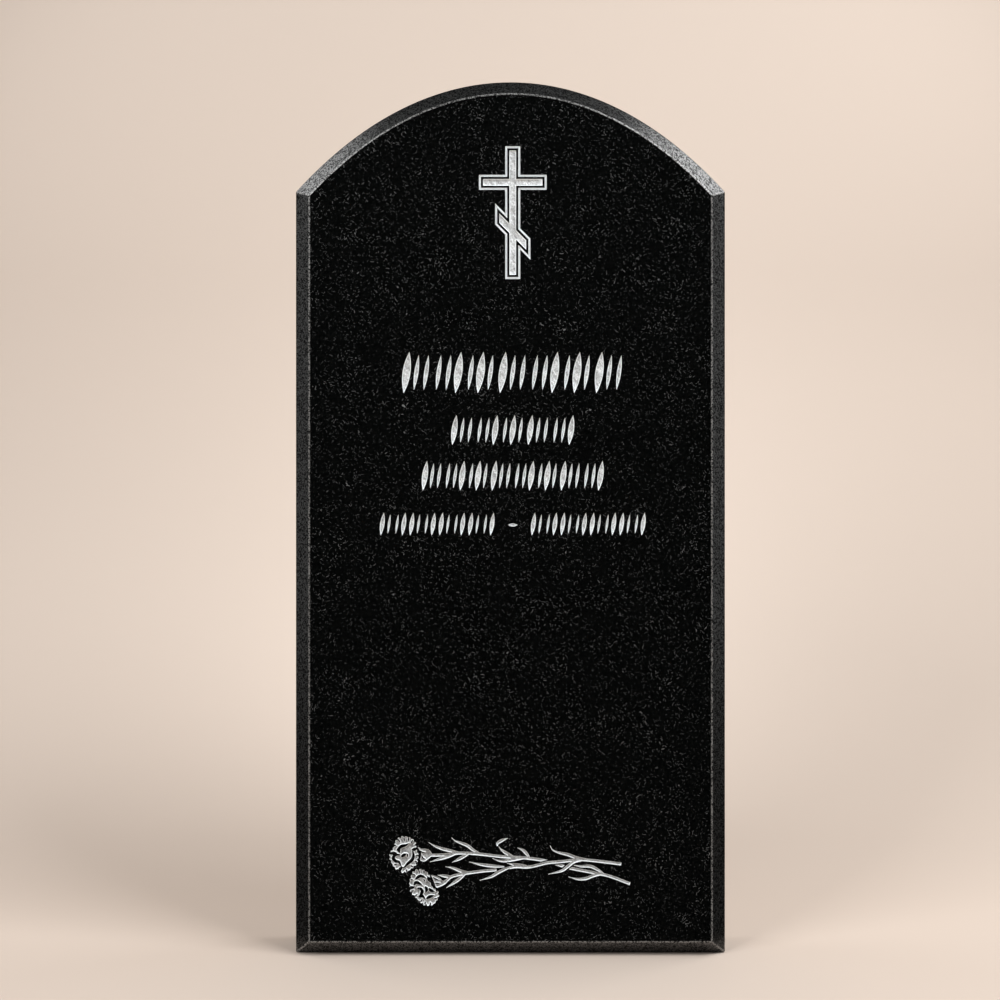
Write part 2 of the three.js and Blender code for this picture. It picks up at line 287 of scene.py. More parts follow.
class SlabSettings(bpy.types.PropertyGroup):
    """Sizes and colours of the slab."""

    width: length("Width", "Across the sides", CAD_SIZE.x)
    height: length("Height", "From the foot to the apex", CAD_SIZE.z)
    thickness: length("Thickness", "From the face to the back", CAD_SIZE.y)
    arch_rise: length("Arch rise", "From the shoulders up to the apex", 126 * MM)
    chamfer: length("Chamfer", "Set back of the chamfer round the face", 17 * MM)
    back_arris: length("Back arris", "Set back of the eased edge round the back", 3 * MM)
    arris: length("Arris", "Width of the rubbed edges", 1.3 * MM)
    crystal: length("Crystal", "Size of the grains in the stone", 3.6 * MM)
    stone: colour("Stone", "Polished stone between its flecks", (0.0007, 0.0008, 0.0008))
    fleck: colour("Fleck", "Pale crystals in the polished stone", (0.19, 0.198, 0.2))
    honed: colour("Honed stone", "Stone of the chamfer", (0.003, 0.0031, 0.0031))
    honed_fleck: colour("Honed fleck", "Pale crystals in the chamfer", (0.046, 0.047, 0.046))
    # Painted highlight along the arrises of the chamfer; the same colour is the pale grain of the sawn
    # back.
    arris_highlight_and_pale_grain: colour("Arris highlight and pale grain", "Highlight painted along an arris, and pale grain of the back", (0.2, 0.2, 0.197))
    sawn: colour("Back", "Stone of the back", (0.04, 0.0405, 0.04))


class CarvingSettings(bpy.types.PropertyGroup):
    """Sizes and colours of the carving."""

    depth: length("Depth", "How far the carving is sunk", 2 * MM)
    wall: length("Wall", "Run of the sloping walls", 0.9 * MM)
    middle: length("Middle", "The carving's middle line, off the slab's own", 2.5 * MM)
    cross_drop: length("Cross drop", "Top of the cross", 77 * MM)
    cross_height: length("Cross height", "Length of the upright", 151 * MM)
    cross_bar: length("Cross bar", "Width of every bar", 17 * MM)
    cross_outline: length("Cross outline", "Width of the sunk outline", 2.2 * MM)
    cross_ridge: length("Cross ridge", "Width of the stone left inside the outline", 2.5 * MM)
    beam_drop: length("Beam drop", "Middle of the upper beam", 118 * MM)
    beam_length: length("Beam length", "Length of the upper beam", 77 * MM)
    foot_drop: length("Foot beam drop", "Middle of the slanting beam", 174 * MM)
    foot_span: length("Foot beam span", "Slanting beam, measured level", 40 * MM)
    foot_slope: FloatProperty(name="Foot beam slope", description="Rise over run", default=-1.0)
    bold: share("Bold stroke", "Width of a bold stroke for its row's height", 0.19)
    fine: share("Fine stroke", "Width of a fine stroke for its row's height", 0.1)
    fine_height: share("Fine stroke height", "Length of a fine stroke for its row's height", 0.84)
    lean: share("Lean", "Run of a stroke for its rise", 0.14)
    fill: share("Fill", "Share of its room that a group of strokes takes up", 0.92)
    hatch: length("Hatch", "Spacing of the tool marks on the floors", 3.2 * MM)
    hatch_depth: length("Hatch depth", "Depth of the tool marks", 0.9 * MM)
    hatch_turn: angle("Hatch turn", "Slant of the tool marks", math.radians(35))
    grain: length("Grain", "Size of the pits in the floors", 1.1 * MM)
    grain_depth: length("Grain depth", "Depth of the pits", 0.22 * MM)
    frost: colour("Frosted stone", "Bruised stone in the carving", (0.94, 0.98, 1.0))
    seed: IntProperty(name="Seed", description="Changes the tool marks and pits", default=7)


class CarnationSettings(bpy.types.PropertyGroup):
    """Sizes of the two carnations."""

    overlap: length("Overlap", "Stone left standing round what lies on top", 1.6 * MM)
    stem: length("Stem", "Width of a stem", 3.2 * MM)
    leaf: length("Leaf", "Width of a leaf at its widest", 3.5 * MM)
    petal_gap: length("Petal gap", "Stone left standing between petals, at its widest", 3.8 * MM)
    fold: length("Fold", "Stone left standing in a fold, at its widest", 1.8 * MM)
    start: share("Start", "How far into its swelling a leaf or a gap starts", 0.12)
    tip: length("Tip", "Half width left at the point of a leaf or a gap", 0.3 * MM)
    frill: length("Frill", "Depth of the frill round a head", 1.8 * MM)
    teeth: IntProperty(name="Teeth", description="Teeth of the frill round a head", default=26)
    unevenness: share("Unevenness", "How much deeper the deepest teeth are", 0.6)
    waves: IntProperty(name="Waves", description="How often that happens round a head", default=5)


class StageSettings(bpy.types.PropertyGroup):
    """The studio's colours, lights and camera."""

    paper: colour("Paper", "Floor and backdrop", (0.545, 0.467, 0.407))
    ambient: share("Ambient", "Strength of the light from all round", 0.04)
    key: power("Key", "Softbox high to the right, in front", 88.0)
    fill: power("Fill", "Softbox high to the left, in front", 57.0)
    top: power("Top", "Softbox overhead, in front", 2.0)
    wall: power("Wall", "Small softbox behind the stone that lights the backdrop", 2.0)
    left_side: power("Left side", "Softbox beside the stone on the left", 1.0)
    right_side: power("Right side", "Softbox beside the stone on the right", 1.2)
    left_edge: power("Left edge", "Softbox over the left shoulder", 9.0)
    right_edge: power("Right edge", "Softbox over the right shoulder", 14.5)
    distance: length("Camera distance", "From the camera to the face", 1.78)
    camera_x: length("Camera place", "Off the middle", -12 * MM)
    camera_height: length("Camera height", "Above the floor", 577.3 * MM)
    lens: FloatProperty(name="Lens", description="Focal length", default=56.3, unit="CAMERA")
    shift: FloatProperty(name="Shift", description="Camera shift, upright", default=-0.05)


# Node trees

class Field:
    """A value in a node tree. Arithmetic on it adds Math nodes."""

    def __init__(self, nodes, socket):
        self.nodes = nodes
        self.socket = socket

    def __add__(self, other):
        return self.nodes.math("ADD", self, other)

    def __sub__(self, other):
        return self.nodes.math("SUBTRACT", self, other)

    def __rsub__(self, other):
        return self.nodes.math("SUBTRACT", other, self)

    def __mul__(self, other):
        return self.nodes.math("MULTIPLY", self, other)

    def __truediv__(self, other):
        return self.nodes.math("DIVIDE", self, other)

    def __rtruediv__(self, other):
        return self.nodes.math("DIVIDE", other, self)

    __radd__ = __add__
    __rmul__ = __mul__


class Nodes:
    """Adds nodes to a tree. What feeds a socket is a Field or a constant."""

    SPACING = 180

    def __init__(self, tree):
        self.tree = tree

    def node(self, kind, feeds, **settings):
        node = self.tree.nodes.new(kind)
        node.location.x = self.SPACING * len(self.tree.nodes)
        for name, value in settings.items():
            setattr(node, name, value)
        for socket, value in feeds.items():
            self.feed(node.inputs[socket], value)
        return node

    def feed(self, socket, value):
        if isinstance(value, Field):
            self.tree.links.new(value.socket, socket)
        else:
            socket.default_value = value

    def add(self, kind, feeds=None, output=0, **settings):
        return Field(self, self.node(kind, feeds or {}, **settings).outputs[output])

    def math(self, operation, *values, **settings):
        return self.add("ShaderNodeMath", dict(enumerate(values)), operation=operation, **settings)

    def vector(self, x, y, z=0.0):
        return self.add("ShaderNodeCombineXYZ", {"X": x, "Y": y, "Z": z})

    def along(self, operation, *vectors):
        return self.add("ShaderNodeVectorMath", dict(enumerate(vectors)), operation=operation)

    def scaled(self, vector, factor):
        feeds = {"Vector": vector, "Scale": factor}
        return self.add("ShaderNodeVectorMath", feeds, operation="SCALE")

    def parts(self, vector):
        node = self.node("ShaderNodeSeparateXYZ", {"Vector": vector})
        return [Field(self, output) for output in node.outputs]

    def ranged(self, value, low, high, to_low=0.0, to_high=1.0):
        feeds = {"Value": value, "From Min": low, "From Max": high, "To Min": to_low, "To Max": to_high}
        return self.add("ShaderNodeMapRange", feeds, interpolation_type="SMOOTHSTEP")

    def mixed(self, factor, first, second):
        node = self.node("ShaderNodeMix", {"Factor": factor}, data_type="RGBA")
        self.feed(node.inputs[6], first)
        self.feed(node.inputs[7], second)
        return Field(self, node.outputs[2])

    def joined(self, *parts):
        node = self.node("GeometryNodeJoinGeometry", {})
        for part in parts:
            self.tree.links.new(part.socket, node.inputs["Geometry"])
        return Field(self, node.outputs["Geometry"])

    def attribute(self, name):
        return self.add("GeometryNodeInputNamedAttribute", {"Name": name})


def node_group(kind, name, inputs, outputs):
    """A new node group, its Nodes, its inputs as Fields and its output node."""
    tree = bpy.data.node_groups.new(name, kind)
    for in_out, sockets in (("INPUT", inputs), ("OUTPUT", outputs)):
        for label, socket in sockets.items():
            tree.interface.new_socket(label, in_out=in_out, socket_type="NodeSocket" + socket)
    nodes = Nodes(tree)
    start = nodes.node("NodeGroupInput", {})
    given = {label: Field(nodes, start.outputs[label]) for label in inputs}
    return nodes, given, nodes.node("NodeGroupOutput", {})


def geometry_tree(name, floats, ints=(), materials=()):
    """A geometry group with inputs of these names, and one for its main material."""
    sockets = {"Geometry": "Geometry", **dict.fromkeys(floats, "Float"), **dict.fromkeys(ints, "Int")}
    sockets.update(dict.fromkeys((*materials, "Material"), "Material"))
    return node_group("GeometryNodeTree", name, sockets, {"Geometry": "Geometry"})


def finish_tree(nodes, given, end, geometry):
    """Closes a geometry tree: instances become real and take the tree's material."""
    real = nodes.add("GeometryNodeRealizeInstances", {"Geometry": geometry})
    dressed = nodes.add("GeometryNodeSetMaterial", {"Geometry": real, "Material": given["Material"]})
    nodes.feed(end.inputs["Geometry"], dressed)
    return nodes.tree


def ribbon(nodes, curve, half_width):
    """A flat strip along a curve in the XY plane."""
    profile = nodes.add("GeometryNodeCurvePrimitiveLine", {"Start": (-1, 0, 0), "End": (1, 0, 0)})
    feeds = {"Curve": curve, "Profile Curve": profile, "Scale": half_width}
    return nodes.add("GeometryNodeCurveToMesh", feeds)


def even_line(nodes, start, end, count):
    line = nodes.add("GeometryNodeCurvePrimitiveLine", {"Start": start, "End": end})
    return nodes.add("GeometryNodeResampleCurve", {"Curve": line, "Count": count})


def slab_tree():
    """The slab without its chamfer: an arched outline carried from the face to the back."""
    floats = ("Width", "Height", "Thickness", "Back", "Catenary")
    nodes, given, end = geometry_tree("Slab", floats, ["Arch steps"])
    steps = given["Arch steps"]
    bend = given["Catenary"]
    index = nodes.add("GeometryNodeInputIndex")
    way = nodes.math("DIVIDE", index - 1.0, steps, use_clamp=True)
    x = given["Width"] * (0.5 - way)
    arch = given["Height"] - bend * (nodes.math("COSH", x / bend) - 1.0)
    off_middle = nodes.math("ABSOLUTE", index - (steps + 2.0) * 0.5)
    on_arch = nodes.math("LESS_THAN", off_middle, steps * 0.5 + 0.5)
    line = nodes.add("GeometryNodeMeshLine", {"Count": steps + 3.0})
    place = nodes.vector(x, arch * on_arch)
    outline = nodes.add("GeometryNodeSetPosition", {"Geometry": line, "Position": place})
    curve = nodes.add("GeometryNodeMeshToCurve", {"Mesh": outline})
    closed = nodes.add("GeometryNodeSetSplineCyclic", {"Geometry": curve, "Cyclic": True})
    flat = nodes.add("GeometryNodeFillCurve", {"Curve": closed}, mode="NGONS")
    upright = {"Geometry": flat, "Translation": nodes.vector(0.0, given["Back"])}
    upright["Rotation"] = nodes.vector(math.pi / 2, 0.0)
    back = nodes.add("GeometryNodeTransform", upright)
    carried = {"Mesh": back, "Offset": (0, -1, 0), "Offset Scale": given["Thickness"]}
    body = nodes.add("GeometryNodeExtrudeMesh", carried)
    flipped = nodes.add("GeometryNodeFlipFaces", {"Mesh": back})
    whole = nodes.add("GeometryNodeMergeByDistance", {"Geometry": nodes.joined(body, flipped)})
    y = nodes.parts(nodes.add("GeometryNodeInputPosition"))[1]
    forward = (given["Back"] - y) / given["Thickness"]
    at_front = nodes.math("GREATER_THAN", forward, NEAR_FRONT)
    at_back = nodes.math("LESS_THAN", forward, NEAR_BACK)
    for name, here in (("front_edge", at_front), ("back_edge", at_back)):
        feeds = {"Geometry": whole, "Name": name, "Value": here}
        whole = nodes.add("GeometryNodeStoreNamedAttribute", feeds, domain="EDGE")
    return finish_tree(nodes, given, end, whole)


def row_tree():
    """A row of leaning strokes, pointed at both ends. The bold one moves up a place in each group."""
    floats = ("Width", "Height", "Fill", "Lean", "Bold", "Fine", "Fine height")
    nodes, given, end = geometry_tree("Row of strokes", floats, ("Groups", "Strokes", "Steps"))
    groups = given["Groups"]
    strokes = given["Strokes"]
    index = nodes.add("GeometryNodeInputIndex")
    group = nodes.math("FLOOR", index / strokes)
    place = index - group * strokes
    room = given["Width"] / groups
    stroke_room = room * given["Fill"] / strokes
    x = (group + 0.5 - groups * 0.5) * room + (place + 0.5 - strokes * 0.5) * stroke_room
    bold = nodes.math("LESS_THAN", nodes.math("MODULO", place + group, strokes), 0.5)
    width = given["Fine"] + bold * (given["Bold"] - given["Fine"])
    rise = given["Fine height"] + bold * (1.0 - given["Fine height"])
    stretch = nodes.math("SQRT", given["Lean"] * given["Lean"] + 1.0)
    size = nodes.vector(width * given["Height"], rise * stretch * given["Height"], 1.0)
    turn = nodes.vector(0.0, 0.0, 0.0 - nodes.math("ARCTANGENT", given["Lean"]))
    line = nodes.add("GeometryNodeMeshLine", {"Count": groups * strokes})
    points = nodes.add("GeometryNodeSetPosition", {"Geometry": line, "Position": nodes.vector(x, 0.0)})
    way = nodes.add("GeometryNodeSplineParameter")
    straight = even_line(nodes, (0, -0.5, 0), (0, 0.5, 0), given["Steps"])
    spindle = ribbon(nodes, straight, way * (1.0 - way) * 2.0)
    feeds = {"Points": points, "Instance": spindle, "Rotation": turn, "Scale": size}
    return finish_tree(nodes, given, end, nodes.add("GeometryNodeInstanceOnPoints", feeds))


def smooth_path(nodes, points):
    """A smooth curve through lines of points."""
    angular = nodes.add("GeometryNodeMeshToCurve", {"Mesh": points})
    smooth = nodes.add("GeometryNodeCurveSplineType", {"Curve": angular}, spline_type="CATMULL_ROM")
    fine = {"Geometry": smooth, "Resolution": SPLINE_RESOLUTION}
    return nodes.add("GeometryNodeSetSplineResolution", fine)


def ribbon_tree():
    """Flat strips along paths, of one width or swelling from a narrow start and ending in a point."""
    floats = ("Width", "Swelling", "Start", "Tip", "Margin", "Spacing")
    nodes, given, end = geometry_tree("Ribbons", floats)
    spaced = {"Curve": smooth_path(nodes, given["Geometry"]), "Length": given["Spacing"]}
    even = nodes.add("GeometryNodeResampleCurve", spaced, mode="LENGTH")
    way = nodes.add("GeometryNodeSplineParameter")
    start = given["Start"]
    swollen = nodes.math("SINE", (start + (1.0 - start) * way) * math.pi)
    width = given["Width"] * (1.0 - given["Swelling"] * (1.0 - swollen))
    half_width = nodes.math("MAXIMUM", width * 0.5, given["Tip"]) + given["Margin"]
    return finish_tree(nodes, given, end, ribbon(nodes, even, half_width))


def frill_tree():
    """Closed paths filled in, with rounded uneven teeth that stand half in and half out of them."""
    ints = ("Teeth", "Waves", "Steps")
    nodes, given, end = geometry_tree("Frilled outlines", ("Frill", "Unevenness"), ints)
    spaced = {"Curve": smooth_path(nodes, given["Geometry"]), "Count": given["Steps"]}
    even = nodes.add("GeometryNodeResampleCurve", spaced)
    way = nodes.add("GeometryNodeSplineParameter")
    tangent_x, tangent_y, _ = nodes.parts(nodes.add("GeometryNodeInputTangent"))
    tooth = nodes.math("ABSOLUTE", nodes.math("SINE", way * given["Teeth"] * math.pi))
    swing = nodes.math("SINE", way * given["Waves"] * math.tau)
    out = (tooth - 0.5) * given["Frill"] * (1.0 + given["Unevenness"] * swing)
    away = nodes.vector(tangent_y * out, 0.0 - tangent_x * out)
    edge = nodes.add("GeometryNodeSetPosition", {"Geometry": even, "Offset": away})
    filled = nodes.add("GeometryNodeFillCurve", {"Curve": edge}, mode="NGONS")
    return finish_tree(nodes, given, end, filled)


def worked_stone_tree():
    """Tool marks and pits on the floors of the carving, and the finish of each kind of face."""
    floats = ("Hatch", "Hatch depth", "Hatch turn", "Grain", "Grain depth")
    finishes = ("Sawn", "Honed", "Frosted")
    nodes, given, end = geometry_tree("Worked stone", floats, ["Seed"], finishes)
    place = nodes.add("GeometryNodeInputPosition")
    turned = {"Vector": place, "Angle": given["Hatch turn"]}
    slanting = nodes.add("ShaderNodeVectorRotate", turned, rotation_type="Y_AXIS")
    across, _, along = nodes.parts(slanting)
    streak = nodes.vector(across / given["Hatch"], 0.0, along / given["Hatch"] * MARK_SQUEEZE)
    marks = {"Vector": streak, "W": given["Seed"], "Scale": 1.0, "Detail": 1.0}
    hatch = nodes.add("ShaderNodeTexNoise", marks, noise_dimensions="4D")
    pits = {"Vector": place, "W": given["Seed"], "Scale": 1.0 / given["Grain"], "Detail": 0.0}
    grain = nodes.add("ShaderNodeTexNoise", pits, noise_dimensions="4D")
    relief = (hatch - 0.5) * given["Hatch depth"] * 2.0 + (grain - 0.5) * given["Grain depth"] * 2.0
    sunk = nodes.vector(0.0, relief * nodes.attribute("floor"))
    marked = {"Geometry": given["Geometry"], "Name": "marks", "Value": hatch}
    stone = nodes.add("GeometryNodeStoreNamedAttribute", marked, domain="POINT")
    stone = nodes.add("GeometryNodeSetPosition", {"Geometry": stone, "Offset": sunk})
    stone = nodes.add("GeometryNodeSetMaterial", {"Geometry": stone, "Material": given["Material"]})
    for finish in finishes:
        chosen = nodes.math("GREATER_THAN", nodes.attribute(finish.lower()), 0.5)
        feeds = {"Geometry": stone, "Selection": chosen, "Material": given[finish]}
        stone = nodes.add("GeometryNodeSetMaterial", feeds)
    real = nodes.add("GeometryNodeRealizeInstances", {"Geometry": stone})
    nodes.feed(end.inputs["Geometry"], real)
    return nodes.tree


def run_through(tree, mesh, inputs):
    """A temporary object with the tree on its mesh, its inputs set before it is first evaluated."""
    obj = bpy.data.objects.new(tree.name, mesh)
    modifier = obj.modifiers.new(tree.name, "NODES")
    modifier.node_group = tree
    sockets = [item for item in tree.interface.items_tree if item.in_out == "INPUT"]
    identifiers = {socket.name: socket.identifier for socket in sockets}
    for name, value in inputs.items():
        modifier[identifiers[name]] = value
    bpy.context.scene.collection.objects.link(obj)
    return obj


def plain_mesh(obj):
    """The mesh that the object's modifiers make, and the object gone."""
    depsgraph = bpy.context.evaluated_depsgraph_get()
    made = bpy.data.meshes.new_from_object(obj.evaluated_get(depsgraph), depsgraph=depsgraph)
    source = obj.data
    bpy.data.objects.remove(obj)
    bpy.data.meshes.remove(source)
    return made


# The slab

def catenary(half, rise):
    """The parameter of the catenary that drops by the rise at the half width, by Newton's method."""
    parameter = half**2 / (2 * rise)
    for _ in range(ARCH_SEARCH_ROUNDS):
        ratio = half / parameter
        excess = parameter * (math.cosh(ratio) - 1) - rise
        parameter -= excess / (math.cosh(ratio) - 1 - ratio * math.sinh(ratio))
    return parameter


def bevel(obj, width, segments, weight=None):
    modifier = obj.modifiers.new("Bevel", "BEVEL")
    modifier.width = width
    modifier.segments = segments
    modifier.use_clamp_overlap = False
    if weight:
        modifier.limit_method = "WEIGHT"
        modifier.edge_weight = weight
    else:
        modifier.limit_method = "ANGLE"
        modifier.angle_limit = ARRIS_TURN


def slab_mesh(slab, material):
    inputs = {
        "Width": slab.width,
        "Height": slab.height,
        "Thickness": slab.thickness,
        "Back": FACE + slab.thickness,
        "Catenary": catenary(slab.width / 2, slab.arch_rise),
        "Arch steps": ARCH_STEPS,
        "Material": material,
    }
    obj = run_through(slab_tree(), bpy.data.meshes.new("slab"), inputs)
    bevel(obj, slab.chamfer, 1, "front_edge")
    bevel(obj, slab.back_arris, 2, "back_edge")
    bevel(obj, slab.arris, ARRIS_SEGMENTS)
    return plain_mesh(obj)


# The stencils

class Stencil(NamedTuple):
    """Flat polygons in x and z that are cut out of the face or, with no tone, left standing."""

    polygons: list
    tone: float | None


def corners_of(mesh):
    """The corners of each face of a flat mesh, turning left. A face that crosses itself is halved."""
    points = np.empty(len(mesh.vertices) * 3, np.float32)
    mesh.vertices.foreach_get("co", points)
    points = points.reshape(-1, 3)[:, :2].astype(float)
    faces = []
    for polygon in mesh.polygons:
        corners = points[list(polygon.vertices)]
        halves = [corners[[0, 1, 2]], corners[[0, 2, 3]]] if len(corners) == 4 else [corners]
        crossed = loop_area(halves[0]) * loop_area(halves[-1]) <= 0
        faces += halves if crossed else [corners]
    turned = [corners if loop_area(corners) > 0 else corners[::-1] for corners in faces]
    return [corners for corners in turned if loop_area(corners) > SMALLEST_TRIANGLE]


def flat_faces(tree, mesh, inputs):
    return corners_of(plain_mesh(run_through(tree, mesh, inputs)))


def moved(polygons, at, turn=0.0):
    spin = np.array([[math.cos(turn), math.sin(turn)], [-math.sin(turn), math.cos(turn)]])
    return [corners @ spin + np.array(at) for corners in polygons]


def cross_stencils(carving):
    """The three bars three times: sunk to the outline, standing as a ridge, and sunk as the filling."""
    x = carving.middle

    def bars(inset):
        half_bar = carving.cross_bar / 2 - inset
        upright = bar(x, APEX - carving.cross_drop - carving.cross_height / 2, half_bar,
                      carving.cross_height / 2 - inset)
        beam = bar(x, APEX - carving.beam_drop, carving.beam_length / 2 - inset, half_bar)
        foot = bar(x, APEX - carving.foot_drop, carving.foot_span / 2 - inset, half_bar,
                   carving.foot_slope)
        return [upright, beam, foot]

    inner = carving.cross_outline + carving.cross_ridge
    return [
        Stencil(bars(0.0), OUTLINE_TONE),
        Stencil(bars(carving.cross_outline), None),
        Stencil(bars(inner), CROSS_TONE),
    ]


def bar(x, z, half_length, half_width, slope=0.0):
    """A bar about its middle. With a slope its ends stay upright."""
    rise = half_width * math.hypot(1, slope)
    run = half_length * slope
    return np.array([
        (x - half_length, z - run - rise),
        (x + half_length, z + run - rise),
        (x + half_length, z + run + rise),
        (x - half_length, z - run + rise),
    ])


def row_stencils(carving, material):
    tree = row_tree()
    shared = {"Fill": carving.fill, "Fine height": carving.fine_height, "Steps": STROKE_STEPS}
    shared["Material"] = material
    stencils = []
    for row in ROWS:
        inputs = {
            "Width": row.width,
            "Height": row.height,
            "Groups": row.groups,
            "Strokes": row.strokes,
            "Lean": carving.lean,
            "Bold": carving.bold,
            "Fine": carving.fine,
        }
        strokes = flat_faces(tree, bpy.data.meshes.new("row"), {**inputs, **shared})
        at = (carving.middle + row.shift, APEX - row.drop + row.height / 2)
        stencils.append(Stencil(moved(strokes, at), STROKE_TONE))
    single = {"Width": DASH_LENGTH, "Height": DASH_LENGTH, "Groups": 1, "Strokes": 1, "Lean": 0.0}
    single.update({"Bold": DASH_WIDTH / DASH_LENGTH, "Fine": 0.0})
    dash = flat_faces(tree, bpy.data.meshes.new("dash"), {**single, **shared})
    level = moved(dash, (carving.middle, APEX - DASH_DROP), math.pi / 2)
    stencils.append(Stencil(level, STROKE_TONE))
    return stencils


def path_mesh(paths, closed=False):
    """Lines of points in x and z, given in millimetres."""
    points = []
    edges = []
    for path in paths:
        first = len(points)
        points += [(x * MM, z * MM, 0.0) for x, z in path]
        edges += [(i, i + 1) for i in range(first, len(points) - 1)]
        if closed:
            edges.append((len(points) - 1, first))
    mesh = bpy.data.meshes.new("paths")
    mesh.from_pydata(points, edges, [])
    return mesh


def carnation_stencils(sizes, material):
    ribbons = ribbon_tree()
    frills = frill_tree()

    def strips(paths, width, swelling, margin=0.0):
        inputs = {
            "Width": width,
            "Swelling": swelling,
            "Start": sizes.start,
            "Tip": sizes.tip,
            "Margin": margin,
            "Spacing": RIM_SPACING,
            "Material": material,
        }
        return flat_faces(ribbons, path_mesh(paths), inputs)

    def filled(path, frill):
        inputs = {
            "Teeth": sizes.teeth,
            "Frill": frill,
            "Unevenness": sizes.unevenness,
            "Waves": sizes.waves,
            "Steps": HEAD_STEPS,
            "Material": material,
        }
        return flat_faces(frills, path_mesh([path], closed=True), inputs)

    def branches(carnation, margin):
        stems = strips(carnation.stems, sizes.stem, 0.0, margin)
        return stems + strips(carnation.leaves, sizes.leaf, 1.0, margin)

    stencils = []
    for carnation in CARNATIONS:
        stencils += [
            Stencil(branches(carnation, sizes.overlap), None),
            Stencil(filled(carnation.head, sizes.frill), PETAL_TONE),
            Stencil(strips(carnation.gaps, sizes.petal_gap, 1.0), None),
            Stencil(filled(carnation.cup, 0.0), CUP_TONE),
            Stencil(strips(carnation.folds, sizes.fold, 1.0), None),
            Stencil(branches(carnation, 0.0), SPRIG_TONE),
        ]
    return stencils


# The carved face

def overlaid(stencils):
    """Points, the triangles that are cut, and each one's tone, with the topmost stencil deciding."""
    points = []
    faces = []
    owners = []
    for order, stencil in enumerate(stencils):
        for corners in stencil.polygons:
            faces.append(list(range(len(points), len(points) + len(corners))))
            points.extend(Vector(corner) for corner in corners)
            owners.append(order)
    made = delaunay_2d_cdt(points, [], faces, 1, OVERLAY_TOLERANCE, True)
    cut = []
    tones = []
    for face, sources in zip(made[2], made[5]):
        tone = stencils[max(owners[source] for source in sources)].tone if sources else None
        if tone is not None:
            cut.append(list(face))
            tones.append(tone)
    return np.array([tuple(point) for point in made[0]]), np.array(cut), np.array(tones)


def rim_loops(points, triangles):
    """The closed lines round what is cut, with the cut side on their left."""
    edges = {(int(t[i]), int(t[(i + 1) % 3])) for t in triangles for i in range(3)}
    following = {}
    for start, end in edges:
        if (end, start) not in edges:
            following.setdefault(start, []).append(end)
    loops = []
    while following:
        start = min(following)
        loop = [start]
        here = following[start].pop()
        while here != start:
            loop.append(here)
            here = following[here].pop()
        loops.append(points[loop])
        following = {key: ends for key, ends in following.items() if ends}
    return [loop for loop in loops if abs(loop_area(loop)) > SMALLEST_CUT]


def loop_area(loop):
    after = np.roll(loop, -1, axis=0)
    return np.sum(loop[:, 0] * after[:, 1] - loop[:, 1] * after[:, 0]) / 2


def even_loop(loop, spacing):
    """The loop with its points set evenly between its corners."""
    gaps = np.linalg.norm(loop - np.roll(loop, 1, axis=0), axis=1)
    loop = loop[gaps > SAME_POINT]
    way_in = loop - np.roll(loop, 1, axis=0)
    way_out = np.roll(loop, -1, axis=0) - loop
    crossed = way_in[:, 0] * way_out[:, 1] - way_in[:, 1] * way_out[:, 0]
    turn = np.abs(np.arctan2(crossed, np.sum(way_in * way_out, axis=1)))
    corners = np.flatnonzero(turn > CORNER_TURN)
    first = corners[0] if len(corners) else 0
    loop = np.roll(loop, -first, axis=0)
    stops = [*(corners - first), len(loop)] if len(corners) else [0, len(loop)]
    closed = np.vstack([loop, loop[:1]])
    pieces = []
    for start, stop in zip(stops, stops[1:]):
        stretch = closed[start:stop + 1]
        ways = np.concatenate([[0.0], np.cumsum(np.linalg.norm(np.diff(stretch, axis=0), axis=1))])
        count = max(1, round(ways[-1] / spacing))
        even = np.linspace(0.0, ways[-1], count + 1)[:-1]
        pieces.append(np.column_stack([np.interp(even, ways, stretch[:, axis]) for axis in (0, 1)]))
    return np.vstack(pieces)


def search_tree(points):
    """Finds the nearest of these points in x and z."""
    tree = KDTree(len(points))
    for number, (x, z) in enumerate(points):
        tree.insert((x, z, 0.0), number)
    tree.balance()
    return tree


class Distances:
    """How far a point is from the nearest rim."""

    def __init__(self, loops):
        self.tree = search_tree(np.vstack([even_loop(loop, RIM_SAMPLE) for loop in loops]))

    def to(self, point):
        return self.tree.find((point[0], point[1], 0.0))[2]


class Spread:
    """Points kept at least a set distance apart."""

    def __init__(self, gap):
        self.gap = gap
        self.cells = {}

    def take(self, point):
        column, line = (int(math.floor(value / self.gap)) for value in point)
        for i in (column - 1, column, column + 1):
            for j in (line - 1, line, line + 1):
                near = self.cells.get((i, j))
                if near is not None and math.dist(near, point) < self.gap:
                    return False
        self.cells[column, line] = point
        return True


def inside(points, loop_set):
    """Which points lie inside an odd number of loops."""
    odd = np.zeros(len(points), bool)
    for loop in loop_set:
        low = loop.min(axis=0)
        high = loop.max(axis=0)
        near = np.flatnonzero(np.all((points >= low) & (points <= high), axis=1))
        if len(near) == 0:
            continue
        x, z = points[near].T
        crossings = np.zeros(len(near), bool)
        for (x0, z0), (x1, z1) in zip(loop, np.roll(loop, -1, axis=0)):
            if z0 != z1:
                spans = (z0 > z) != (z1 > z)
                crossings ^= spans & (x < (x1 - x0) * (z - z0) / (z1 - z0) + x0)
        odd[near] ^= crossings
    return odd


def floor_grid(loops):
    """A staggered grid of points over the box of every loop."""
    rows = {}
    for loop in loops:
        low = np.floor(loop.min(axis=0) / FLOOR_SPACING).astype(int)
        high = np.ceil(loop.max(axis=0) / FLOOR_SPACING).astype(int)
        for line in range(low[1], high[1] + 1):
            rows.setdefault(line, set()).update(range(low[0], high[0] + 1))
    places = []
    for line in sorted(rows):
        places += [(column + 0.5 * (line % 2), line) for column in sorted(rows[line])]
    return np.array(places) * FLOOR_SPACING


